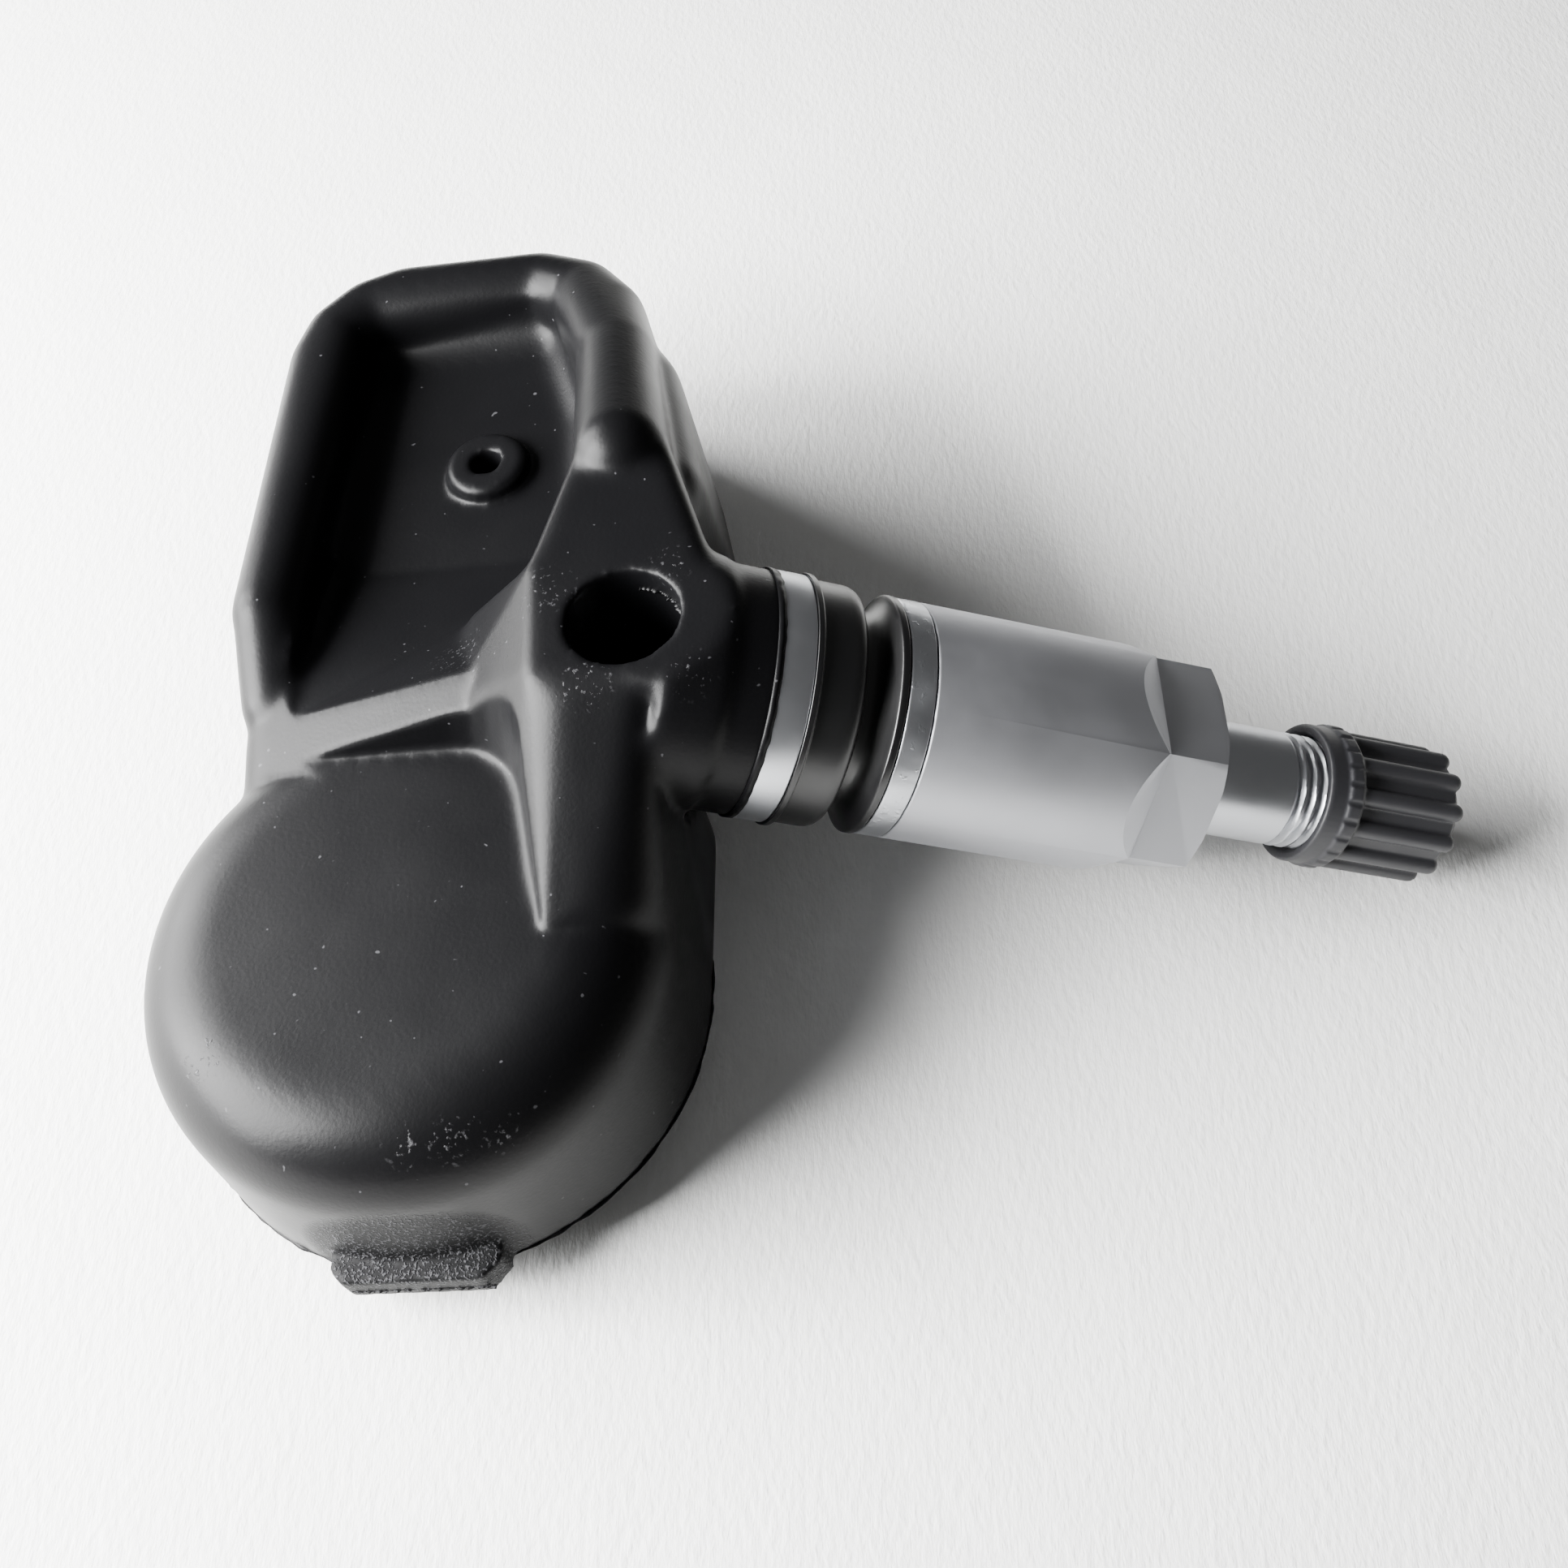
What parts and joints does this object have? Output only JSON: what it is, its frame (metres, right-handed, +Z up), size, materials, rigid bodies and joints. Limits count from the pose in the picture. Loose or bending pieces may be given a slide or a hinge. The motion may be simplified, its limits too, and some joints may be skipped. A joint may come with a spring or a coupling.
{
  "type": "tyre_pressure_sensor",
  "caption": "Tyre pressure sensor: black moulded housing with battery dome and tray on a clamp-in aluminium valve stem with rubber seal, washer, sleeve nut and ribbed cap",
  "frame": {"origin": "Middle of the footprint on the table, under the centre of the part's bounding box, with the part lying on its housing's left edge and on its cap", "axes": "+X along the length towards the valve cap, +Y towards the tray, +Z up from the table"},
  "size_m": [0.0856, 0.0746, 0.0283],
  "materials": {
    "moulded_black": "fine-grained glass-filled nylon",
    "stem_aluminium": "turned, satin",
    "nut_nickel": "satin plated, milled flats",
    "washer_steel": "plain, scuffed edges",
    "seal_rubber": "smooth moulded rubber",
    "cap_plastic": "dark grey moulded plastic",
    "resin": "cast potting resin",
    "board_green": "solder-masked laminate",
    "cell_steel": "nickel-plated steel",
    "tab_nickel": "nickel strip",
    "ferrite": "sintered ferrite",
    "copper": "enamelled copper wire",
    "brass": "turned brass",
    "spring_steel": "drawn wire",
    "chip_plastic": "moulded chip package",
    "ptfe": "white PTFE",
    "silicone": "soft silicone",
    "ceramic": "fired ceramic chips"
  },
  "bodies": {
    "sensor_body": {"housing": "moulded_black", "potting_resin": "resin", "circuit_board": "board_green", "battery_can": "cell_steel", "battery_lid": "cell_steel", "battery_gasket": "chip_plastic", "battery_tab_positive": "tab_nickel", "battery_tab_negative": "tab_nickel", "coil_core": "ferrite", "coil_winding": "copper", "antenna": "brass", "sensor_chip": "chip_plastic", "port_gasket": "silicone", "port_filter": "ptfe", "crystal": "cell_steel", "chip_capacitors": "ceramic", "valve_stem": "stem_aluminium", "core_body": "brass", "core_spring": "spring_steel", "core_seal": "ptfe", "grommet": "seal_rubber"},
    "nut_slide": {"nut_washer": "washer_steel"},
    "nut_body": {"nut": "nut_nickel"},
    "cap_slide": {"cap_seal": "seal_rubber"},
    "cap_body": {"cap": "cap_plastic"},
    "pin_body": {"core_pin": "brass", "core_cup": "seal_rubber"}
  },
  "joints": [
    {"name": "nut_travel", "type": "slide", "parent": "sensor_body", "child": "nut_slide", "axis": [0.9555, 0, -0.2951], "range_m": [0, 0.005]},
    {"name": "nut_turn", "type": "hinge", "parent": "nut_slide", "child": "nut_body", "pos_m": [0.01281, -0.00465, 0.01324], "axis": [0.9555, 0, -0.2951], "range_deg": [0, 1800]},
    {"name": "cap_travel", "type": "slide", "parent": "sensor_body", "child": "cap_slide", "axis": [0.9555, 0, -0.2951], "range_m": [0, 0.00397]},
    {"name": "cap_turn", "type": "hinge", "parent": "cap_slide", "child": "cap_body", "pos_m": [0.03669, -0.00465, 0.00587], "axis": [0.9555, 0, -0.2951], "range_deg": [0, 1800]},
    {"name": "pin_press", "type": "slide", "parent": "sensor_body", "child": "pin_body", "axis": [-0.9555, 0, 0.2951], "range_m": [0, 0.0008], "stiffness_N_per_m": 300, "springref_m": -0.0005}
  ],
  "couplings": [
    {"joint": "nut_turn", "follows": "nut_travel", "rad_per_m": 6283.2},
    {"joint": "cap_turn", "follows": "cap_travel", "rad_per_m": 7915.8}
  ]
}
